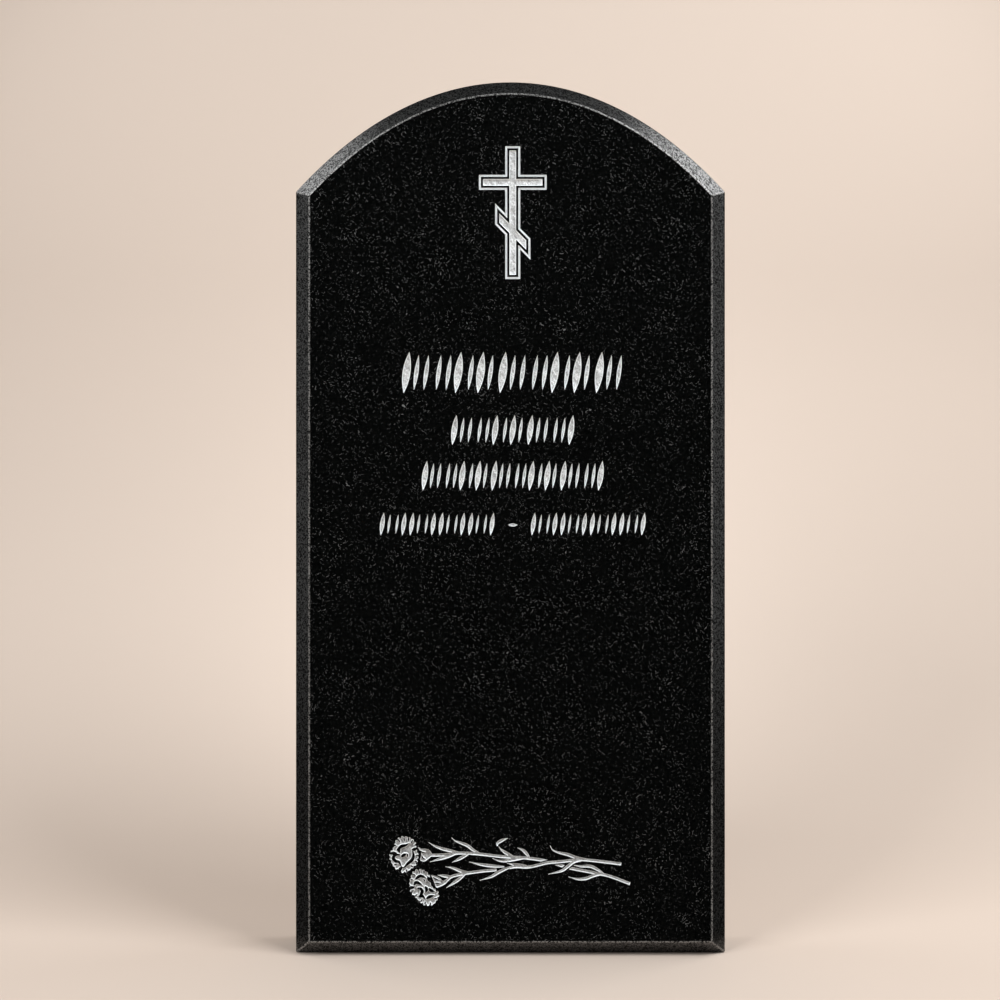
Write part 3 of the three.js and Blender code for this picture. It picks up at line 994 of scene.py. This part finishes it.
def wall_points(loops, distances, inset, kept):
    """Points set in from the rims by the inset, where no other rim is nearer."""
    found = []
    for loop in loops:
        along = np.roll(loop, -1, axis=0) - np.roll(loop, 1, axis=0)
        inward = np.column_stack([-along[:, 1], along[:, 0]])
        inward /= np.linalg.norm(inward, axis=1)[:, None]
        for point in loop + inward * inset:
            if distances.to(point) > WALL_SLACK * inset and kept.take(tuple(point)):
                found.append(tuple(point))
    return found


def inner_points(loops, distances, wall):
    """Points inside the loops: in rows along the walls, and in a grid on the floors."""
    kept = Spread(POINT_SPREAD)
    on_walls = []
    for share_of_wall in WALL_ROWS:
        on_walls += wall_points(loops, distances, share_of_wall * wall, kept)
    on_walls = [point for point, sunk in zip(on_walls, inside(np.array(on_walls), loops)) if sunk]
    grid = floor_grid(loops)
    grid = grid[inside(grid, loops)]
    clear = wall + FLOOR_CLEARANCE
    return on_walls + [tuple(point) for point in grid if distances.to(point) > clear]


def sunk_depth(distance, carving):
    """How deep the carving is at a distance from its rim: steep at the rim, easing into the floor."""
    left = 1.0 - min(distance / carving.wall, 1.0)
    return carving.depth * (1.0 - left * left)


def carved_face(border, stencils, carving):
    """The front face inside its border, with the carving sunk in. Returns points as x, y and z,
    triangles, each triangle's tone or 0 where it isn't cut, each point's distance from the rim, and
    its number among the points that were given, the border first."""
    points, cut, tones = overlaid(stencils)
    raw_loops = rim_loops(points, cut)
    loops = [even_loop(loop, RIM_SPACING) for loop in raw_loops]
    distances = Distances(raw_loops)
    flat = []
    edges = []
    for loop in (border, *loops):
        first = len(flat)
        edges += [(first + i, first + (i + 1) % len(loop)) for i in range(len(loop))]
        flat += [tuple(point) for point in loop]
    rim_count = len(flat)
    flat += inner_points(loops, distances, carving.wall)
    made = delaunay_2d_cdt([Vector(p) for p in flat], edges, [], 0, OVERLAY_TOLERANCE, True)
    xz = np.array([tuple(p) for p in made[0]])
    is_inner = np.array([all(source >= rim_count for source in sources) for sources in made[3]])
    reach = np.array([distances.to(p) if i else 0.0 for p, i in zip(xz, is_inner)])
    y = np.array([FACE + sunk_depth(d, carving) for d in reach])
    triangles = np.array([list(face) for face in made[2]])
    middles = xz[triangles].mean(axis=1)
    is_cut = is_inner[triangles].any(axis=1)
    doubtful = np.flatnonzero(~is_cut)
    is_cut[doubtful] = inside(middles[doubtful], raw_loops)
    centres = search_tree(points[cut].mean(axis=1))
    tone = np.zeros(len(triangles))
    tone[is_cut] = [tones[centres.find((x, z, 0.0))[1]] for x, z in middles[is_cut]]
    sources = [min(s) for s in made[3]]
    return np.column_stack([xz[:, 0], y, xz[:, 1]]), triangles, tone, reach, sources


def store(mesh, domain, **attributes):
    for name, values in attributes.items():
        attribute = mesh.attributes.new(name, "FLOAT", domain)
        attribute.data.foreach_set("value", np.asarray(values, np.float32))


def assembled(slab, stencils, carving):
    """The slab with its plain front face taken out and the carved one laid in."""
    points = np.array([vertex.co for vertex in slab.vertices], float)
    front = max((f for f in slab.polygons if f.normal.y < -SQUARE_ON), key=lambda face: face.area)
    border = list(front.vertices)
    fresh, triangles, tone, reach, sources = carved_face(points[border][:, [0, 2]], stencils, carving)
    places = []
    added = []
    for number, source in enumerate(sources):
        if source < len(border):
            places.append(border[source])
        else:
            places.append(len(points) + len(added))
            added.append(number)
    faces = [list(face.vertices) for face in slab.polygons if face.index != front.index]
    kinds = [(0.0, *finish_of(face)) for face in slab.polygons if face.index != front.index]
    faces += [[places[i] for i in triangle] for triangle in triangles]
    kinds += [(t, 0.0, 0.0, 0.0) for t in tone]
    mesh = bpy.data.meshes.new(NODE)
    mesh.from_pydata(np.vstack([points, fresh[added]]).tolist(), [], faces)
    tone, honed, sawn, arris = np.array(kinds, np.float32).T
    store(mesh, "FACE", tone=tone, frosted=tone > 0, honed=honed, sawn=sawn, arris=arris)
    distance = np.concatenate([np.zeros(len(points)), reach[added]]).astype(np.float32)
    start = MARKS_START * carving.wall
    floor = np.clip((distance - start) / (carving.wall - start), 0, 1)
    store(mesh, "POINT", rim_distance=distance, floor=floor)
    mark_edges(mesh)
    return mesh


def finish_of(face):
    """Whether a face of the slab is honed, whether it is sawn and whether it is an arris, where a
    highlight is painted.
    """
    out = -face.normal.y
    chamfer = math.sqrt(0.5)
    honed = chamfer - NORMAL_SLACK < out < 1.0 - NORMAL_SLACK
    # The arris faces, where the honed stone gets a painted highlight.
    arris_highlight_and_pale_grain = honed and out > chamfer + NORMAL_SLACK
    return float(honed), float(out < -NORMAL_SLACK), float(arris_highlight_and_pale_grain)


def mark_edges(mesh):
    """Smooth shading that breaks at the arrises and at the rim of the carving."""
    shell = bmesh.new()
    shell.from_mesh(mesh)
    cut = shell.faces.layers.float["frosted"]
    arris_highlight_and_pale_grain = shell.faces.layers.float["arris"]
    for face in shell.faces:
        face.smooth = True
    for edge in shell.edges:
        first, second = edge.link_faces
        if first[cut] != second[cut]:
            edge.smooth = False
        elif not first[cut]:
            along_arris = first[arris_highlight_and_pale_grain] and second[arris_highlight_and_pale_grain]
            edge.smooth = bool(along_arris) or edge.calc_face_angle() < SHARP_TURN
    shell.to_mesh(mesh)
    shell.free()


# Materials

# The crystals: layers of plates by how much finer each is than the first and by half a plate's
# thickness, where a plate ends, which plates show and how steeply they brighten
PLATES = ((1.0, 0.08), (1.6, 0.11), (2.3, 0.15))
PLATE_END = (0.8, 0.4)
SHOWN_PLATES = (0.73, 1.0)
BRIGHTENING = 4.0
BEND_SCALE = 0.8
BEND = 0.7
CLOUD_SCALE = 30.0
CLOUDS = (0.34, 0.66, 0.3, 1.0)
RELIEF_SCALE = 2.4

# The finishes: ranges of the textures, shares of them, and the strength and depth of each bump
STONE_IOR = 1.55
POLISHED_ROUGHNESS = 0.09
POLISHED_GRAIN = 0.032
HONED_ROUGHNESS = 0.38
HONED_SPECULAR = 0.05
HONED_COAT_ROUGHNESS = 0.3
HONED_COAT_IOR = 1.8
HONED_MOTTLE = (0.4, 0.6)
HONED_GRAIN = 0.6
GLOSS_GRAIN = 0.6
GLOSS = (0.3, 0.7)
HONED_BUMP = (0.3, 0.4 * MM)
SAW_MIDDLE = (0.5, 0.0, -0.8)
SCORE_SCALE = 260.0
SAWN_ROUGHNESS = 0.6
SAWN_MOTTLE = (0.35, 0.65)
SAWN_GRAIN = 0.4
SAWN_SCORES = 0.1
SAWN_RELIEF = 0.6
SAWN_BUMP = (0.3, 0.3 * MM)
FROSTED_ROUGHNESS = 0.8
FROSTED_IOR = 1.5
# Where the highlight painted along the rim of the carving fades out, and how much paler it paints the
# frosted stone.
PAINTED_RIM_HIGHLIGHT_FADE = (0.3 * MM, 1.1 * MM, 1.0, 0.0)
PAINTED_RIM_HIGHLIGHT = 0.65
FROSTED_PITS = (0.3, 0.7, 0.68, 1.25)
FROSTED_STREAKS = (0.35, 0.65, 0.72, 1.25)
FROSTED_BRIGHTEST = 0.95
FROSTED_BUMP = (0.4, 0.3 * MM)
BLACK = (0.0, 0.0, 0.0)


def gabbro_group():
    """Thin plates of pale crystal as the surface cuts them, how bright each grain of the stone is, and
    the roughness between the grains."""
    inputs = {"Vector": "Vector", "Crystal": "Float"}
    outputs = {"Fleck": "Float", "Grain": "Float", "Relief": "Float"}
    nodes, given, end = node_group("ShaderNodeTree", "Gabbro grain", inputs, outputs)
    fine = nodes.scaled(given["Vector"], 1.0 / given["Crystal"])
    bends = {"Vector": fine, "Scale": BEND_SCALE, "Detail": 0.0}
    swirl = nodes.add("ShaderNodeTexNoise", bends, output="Color")
    bent = nodes.along("ADD", fine, nodes.scaled(swirl, BEND))
    flecks = 0.0
    for scale, half_thickness in PLATES:
        cell = nodes.node("ShaderNodeTexVoronoi", {"Vector": bent, "Scale": scale})
        reach = Field(nodes, cell.outputs["Distance"])
        random = Field(nodes, cell.outputs["Color"])
        middle = Field(nodes, cell.outputs["Position"])
        axis = nodes.along("NORMALIZE", nodes.along("SUBTRACT", random, (0.5, 0.5, 0.5)))
        off = {0: nodes.along("SUBTRACT", bent, middle), 1: axis}
        off_plate = nodes.add("ShaderNodeVectorMath", off, "Value", operation="DOT_PRODUCT")
        across = nodes.math("ABSOLUTE", off_plate) * scale
        chance = nodes.add("ShaderNodeTexWhiteNoise", {"Vector": middle})
        bright = nodes.math("POWER", nodes.ranged(chance, *SHOWN_PLATES), BRIGHTENING)
        plate = nodes.ranged(across, half_thickness, 0.0) * nodes.ranged(reach, *PLATE_END)
        flecks = nodes.math("MAXIMUM", bright * plate, flecks)
    clouds = {"Vector": given["Vector"], "Scale": CLOUD_SCALE, "Detail": 3.0}
    cloud = nodes.add("ShaderNodeTexNoise", clouds)
    relief = nodes.add("ShaderNodeTexNoise", {"Vector": fine, "Scale": RELIEF_SCALE, "Detail": 2.0})
    nodes.feed(end.inputs["Fleck"], flecks * nodes.ranged(cloud, *CLOUDS))
    nodes.feed(end.inputs["Grain"], chance)
    nodes.feed(end.inputs["Relief"], relief)
    return nodes.tree


class Finish:
    """A new material with its Principled shader and the stone's grain."""

    def __init__(self, name, grain, crystal):
        self.material = bpy.data.materials.new(name)
        self.material.use_nodes = True
        tree = self.material.node_tree
        self.nodes = Nodes(tree)
        self.shader = tree.nodes["Principled BSDF"]
        place = self.nodes.add("ShaderNodeTexCoord", output="Object")
        group = self.nodes.node("ShaderNodeGroup", {}, node_tree=grain)
        self.nodes.feed(group.inputs["Vector"], place)
        self.nodes.feed(group.inputs["Crystal"], crystal)
        self.place = place
        self.fleck, self.grain, self.relief = (Field(self.nodes, output) for output in group.outputs)

    def attribute(self, name):
        return self.nodes.add("ShaderNodeAttribute", output="Fac", attribute_name=name)

    def set(self, **values):
        for name, value in values.items():
            self.nodes.feed(self.shader.inputs[name.replace("_", " ")], value)

    def bump(self, height, strength, distance):
        feeds = {"Height": height, "Strength": strength, "Distance": distance}
        self.set(Normal=self.nodes.add("ShaderNodeBump", feeds))


def opaque(colour_value):
    return (*colour_value, 1.0)


def polished_stone(slab, grain):
    finish = Finish("polished_stone", grain, slab.crystal)
    pale = finish.fleck + finish.grain * finish.relief * POLISHED_GRAIN
    base = finish.nodes.mixed(pale, opaque(slab.stone), opaque(slab.fleck))
    finish.set(Base_Color=base, Roughness=POLISHED_ROUGHNESS, IOR=STONE_IOR)
    return finish.material


def honed_stone(slab, grain):
    """Stone honed to a half gloss, each grain to its own, with a highlight painted in places along the
    arrises.
    """
    finish = Finish("honed_stone", grain, slab.crystal)
    nodes = finish.nodes
    mottle = nodes.ranged(finish.relief, *HONED_MOTTLE)
    pale = nodes.math("MAXIMUM", finish.fleck, finish.grain * mottle * HONED_GRAIN)
    base = nodes.mixed(pale, opaque(slab.honed), opaque(slab.honed_fleck))
    arris = finish.attribute("arris")
    # A painted highlight along the arrises, broken up by the mottle.
    arris_highlighted = nodes.mixed(arris * mottle, base, opaque(slab.arris_highlight_and_pale_grain))
    gloss = nodes.ranged(finish.grain * GLOSS_GRAIN + mottle * (1.0 - GLOSS_GRAIN), *GLOSS)
    finish.set(Base_Color=arris_highlighted, Roughness=HONED_ROUGHNESS, IOR=STONE_IOR)
    finish.set(Specular_IOR_Level=HONED_SPECULAR)
    finish.set(Coat_Weight=gloss, Coat_Roughness=HONED_COAT_ROUGHNESS, Coat_IOR=HONED_COAT_IOR)
    finish.bump(finish.relief, *HONED_BUMP)
    return finish.material


def sawn_stone(slab, grain):
    """Stone as the saw left it: grey, with the arcs of the blade across it."""
    finish = Finish("sawn_stone", grain, slab.crystal)
    nodes = finish.nodes
    off_saw = nodes.along("SUBTRACT", finish.place, SAW_MIDDLE)
    reach = nodes.add("ShaderNodeVectorMath", {0: off_saw}, "Value", operation="LENGTH")
    arcs = {"W": reach, "Scale": SCORE_SCALE, "Detail": 4.0}
    scores = nodes.add("ShaderNodeTexNoise", arcs, noise_dimensions="1D")
    scored = nodes.ranged(scores, *SAWN_MOTTLE)
    mottle = nodes.ranged(finish.relief, *SAWN_MOTTLE)
    pale = finish.fleck + finish.grain * mottle * SAWN_GRAIN + scored * SAWN_SCORES
    base = nodes.mixed(pale, opaque(slab.sawn), opaque(slab.arris_highlight_and_pale_grain))
    finish.set(Base_Color=base, Roughness=SAWN_ROUGHNESS, IOR=STONE_IOR)
    finish.bump(finish.relief * SAWN_RELIEF + scored * (1.0 - SAWN_RELIEF), *SAWN_BUMP)
    return finish.material


def frosted_stone(slab, carving, grain):
    """Bruised stone: pale, with a highlight painted along the rim, streaked by the tool and pitted by
    the grain.
    """
    finish = Finish("frosted_stone", grain, slab.crystal)
    nodes = finish.nodes
    # A painted highlight: the frosted stone is painted paler close to the rim, standing in for light on
    # the sloping walls.
    rim = nodes.ranged(finish.attribute("rim_distance"), *PAINTED_RIM_HIGHLIGHT_FADE)
    pitted = nodes.ranged(finish.relief, *FROSTED_PITS)
    streaked = nodes.ranged(finish.attribute("marks"), *FROSTED_STREAKS)
    tone_and_rim_highlight = finish.attribute("tone") * pitted * streaked + rim * PAINTED_RIM_HIGHLIGHT
    held = nodes.math("MINIMUM", tone_and_rim_highlight, FROSTED_BRIGHTEST)
    base = nodes.mixed(held, opaque(BLACK), opaque(carving.frost))
    finish.set(Base_Color=base, Roughness=FROSTED_ROUGHNESS, IOR=FROSTED_IOR)
    finish.bump(finish.relief, *FROSTED_BUMP)
    return finish.material


# The stage

SWEEP_START = 0.16
SWEEP_RADIUS = 0.9
SWEEP_STEPS = 24
FLOOR_FRONT = -5.0
STAGE_HALF_WIDTH = 5.0
WALL_TOP = 5.0
MIRRORED_NEAR = 12 * MM
MIRRORED_FAR = 70 * MM
PAPER_ROUGHNESS = 0.9


def backdrop(paper):
    """A floor that sweeps up into a wall behind the stone. It can't be seen from behind."""
    profile = [(FLOOR_FRONT, 0.0)]
    for step in range(SWEEP_STEPS + 1):
        turn = math.pi / 2 * step / SWEEP_STEPS
        y = SWEEP_START + SWEEP_RADIUS * math.sin(turn)
        profile.append((y, SWEEP_RADIUS * (1 - math.cos(turn))))
    profile.append((SWEEP_START + SWEEP_RADIUS, WALL_TOP))
    points = [(side * STAGE_HALF_WIDTH, y, z) for y, z in profile for side in (-1, 1)]
    faces = [(2 * i, 2 * i + 1, 2 * i + 3, 2 * i + 2) for i in range(len(profile) - 1)]
    mesh = bpy.data.meshes.new("backdrop")
    mesh.from_pydata(points, [], faces)
    mesh.polygons.foreach_set("use_smooth", [True] * len(faces))
    mesh.materials.append(paper)
    obj = bpy.data.objects.new("backdrop", mesh)
    bpy.context.scene.collection.objects.link(obj)


def paper_material(stage):
    """Matt paper. It is clear from behind, and it mirrors in the stone only where they touch."""
    material = bpy.data.materials.new("paper")
    material.use_nodes = True
    tree = material.node_tree
    nodes = Nodes(tree)
    shader = tree.nodes["Principled BSDF"]
    light_path = nodes.node("ShaderNodeLightPath", {})
    mirrored = Field(nodes, light_path.outputs["Is Glossy Ray"])
    reach = Field(nodes, light_path.outputs["Ray Length"])
    faded = mirrored * nodes.ranged(reach, MIRRORED_NEAR, MIRRORED_FAR)
    nodes.feed(shader.inputs["Base Color"], nodes.mixed(faded, opaque(stage.paper), opaque(BLACK)))
    nodes.feed(shader.inputs["Roughness"], PAPER_ROUGHNESS)
    nodes.feed(shader.inputs["Specular IOR Level"], 0.0)
    behind = nodes.add("ShaderNodeNewGeometry", output="Backfacing")
    clear = nodes.add("ShaderNodeBsdfTransparent")
    seen = nodes.add("ShaderNodeMixShader", {0: behind, 1: Field(nodes, shader.outputs[0]), 2: clear})
    nodes.feed(tree.nodes["Material Output"].inputs["Surface"], seen)
    return material


class Softbox(NamedTuple):
    """A light by the setting that holds its power, its place, what it faces and its size."""

    power: str
    place: tuple
    target: tuple
    size: tuple


SOFTBOXES = (
    Softbox("key", (1.64, -1.13, 2.81), (-0.1, 0.0, 0.4), (1.35, 1.35)),
    Softbox("fill", (-1.7, -1.7, 2.2), (0.0, 0.0, 0.5), (1.3, 1.3)),
    Softbox("top", (0.0, -1.1, 2.9), (0.0, 0.0, 0.5), (1.6, 1.0)),
    Softbox("wall", (0.0, 0.3, 0.62), (0.0, 1.06, 0.72), (0.35, 0.5)),
    Softbox("left_side", (-1.9, 0.05, 0.75), (-0.24, 0.0, 0.5), (0.5, 1.4)),
    Softbox("right_side", (1.9, 0.05, 0.75), (0.24, 0.0, 0.5), (0.5, 1.4)),
    Softbox("left_edge", (-1.3, 0.3, 1.75), (-0.2, -0.55, 0.9), (0.9, 0.9)),
    Softbox("right_edge", (1.3, 0.3, 1.8), (0.2, -0.55, 0.9), (0.9, 0.9)),
)


def studio_light(stage):
    for softbox in SOFTBOXES:
        light = bpy.data.lights.new(softbox.power, "AREA")
        light.shape = "RECTANGLE"
        light.size, light.size_y = softbox.size
        light.energy = getattr(stage, softbox.power)
        obj = bpy.data.objects.new(softbox.power, light)
        obj.location = softbox.place
        facing = Vector(softbox.target) - Vector(softbox.place)
        obj.rotation_euler = facing.to_track_quat("-Z", "Y").to_euler()
        bpy.context.scene.collection.objects.link(obj)


def studio_air(stage):
    """Dim light from all round. What the camera sees past the backdrop is paper coloured."""
    world = bpy.data.worlds.new("studio")
    world.use_nodes = True
    tree = world.node_tree
    nodes = Nodes(tree)
    seen = nodes.add("ShaderNodeBackground", {"Color": opaque(stage.paper), "Strength": 1.0})
    lit = nodes.add("ShaderNodeBackground", {"Color": opaque(stage.paper), "Strength": stage.ambient})
    looked = nodes.add("ShaderNodeLightPath", output="Is Camera Ray")
    both = nodes.add("ShaderNodeMixShader", {0: looked, 1: lit, 2: seen})
    nodes.feed(tree.nodes["World Output"].inputs["Surface"], both)
    bpy.context.scene.world = world
    world.cycles_visibility.glossy = False


def camera(stage):
    data = bpy.data.cameras.new("camera")
    data.lens = stage.lens
    data.shift_y = stage.shift
    obj = bpy.data.objects.new("camera", data)
    obj.location = (stage.camera_x, FACE - stage.distance, stage.camera_height)
    obj.rotation_euler = (math.pi / 2, 0.0, 0.0)
    bpy.context.scene.collection.objects.link(obj)
    bpy.context.scene.camera = obj


# Operators, panel and registration

class HEADSTONE_OT_stone(bpy.types.Operator):
    """Build the headstone: the slab, its carving and its finishes"""

    bl_idname = "headstone.stone"
    bl_label = "Build the headstone"

    def execute(self, context):
        slab = context.scene.headstone_slab
        carving = context.scene.headstone_carving
        grain = gabbro_group()
        polished = polished_stone(slab, grain)
        frosted = frosted_stone(slab, carving, grain)
        stencils = cross_stencils(carving) + row_stencils(carving, frosted)
        stencils += carnation_stencils(context.scene.headstone_carnation, frosted)
        mesh = assembled(slab_mesh(slab, polished), stencils, carving)
        inputs = {
            "Hatch": carving.hatch,
            "Hatch depth": carving.hatch_depth,
            "Hatch turn": carving.hatch_turn,
            "Grain": carving.grain,
            "Grain depth": carving.grain_depth,
            "Seed": carving.seed,
            "Honed": honed_stone(slab, grain),
            "Frosted": frosted,
            "Sawn": sawn_stone(slab, grain),
            "Material": polished,
        }
        stone = plain_mesh(run_through(worked_stone_tree(), mesh, inputs))
        piece = bpy.data.objects.new(NODE + "_stone", stone)
        context.scene.collection.objects.link(piece)
        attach(piece, "root")
        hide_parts(NODE)
        return {"FINISHED"}


class HEADSTONE_OT_stage(bpy.types.Operator):
    """Set up the backdrop, the lights and the camera"""

    bl_idname = "headstone.stage"
    bl_label = "Set the stage"

    def execute(self, context):
        stage = context.scene.headstone_stage
        backdrop(paper_material(stage))
        studio_light(stage)
        studio_air(stage)
        camera(stage)
        context.scene.view_settings.view_transform = "Standard"
        return {"FINISHED"}


class HEADSTONE_PT_panel(bpy.types.Panel):
    """Lists what can be built"""

    bl_idname = "HEADSTONE_PT_panel"
    bl_label = "Headstone"
    bl_space_type = "VIEW_3D"
    bl_region_type = "UI"
    bl_category = "Headstone"

    def draw(self, context):
        for operator in OPERATORS:
            self.layout.operator(operator.bl_idname)
        for name in SETTINGS:
            group = getattr(context.scene, name)
            box = self.layout.box()
            for setting in group.__annotations__:
                box.prop(group, setting)


SETTINGS = {
    "headstone_slab": SlabSettings,
    "headstone_carving": CarvingSettings,
    "headstone_carnation": CarnationSettings,
    "headstone_stage": StageSettings,
}
OPERATORS = (HEADSTONE_OT_stone, HEADSTONE_OT_stage)


def register():
    for group in (*SETTINGS.values(), *OPERATORS, HEADSTONE_PT_panel):
        bpy.utils.register_class(group)
    for name, group in SETTINGS.items():
        setattr(bpy.types.Scene, name, PointerProperty(type=group))


def unregister():
    for name in SETTINGS:
        delattr(bpy.types.Scene, name)
    for group in reversed((*SETTINGS.values(), *OPERATORS, HEADSTONE_PT_panel)):
        bpy.utils.unregister_class(group)


def main():
    register()
    bpy.ops.headstone.stone()
    bpy.ops.headstone.stage()


if __name__ == "__main__":
    main()
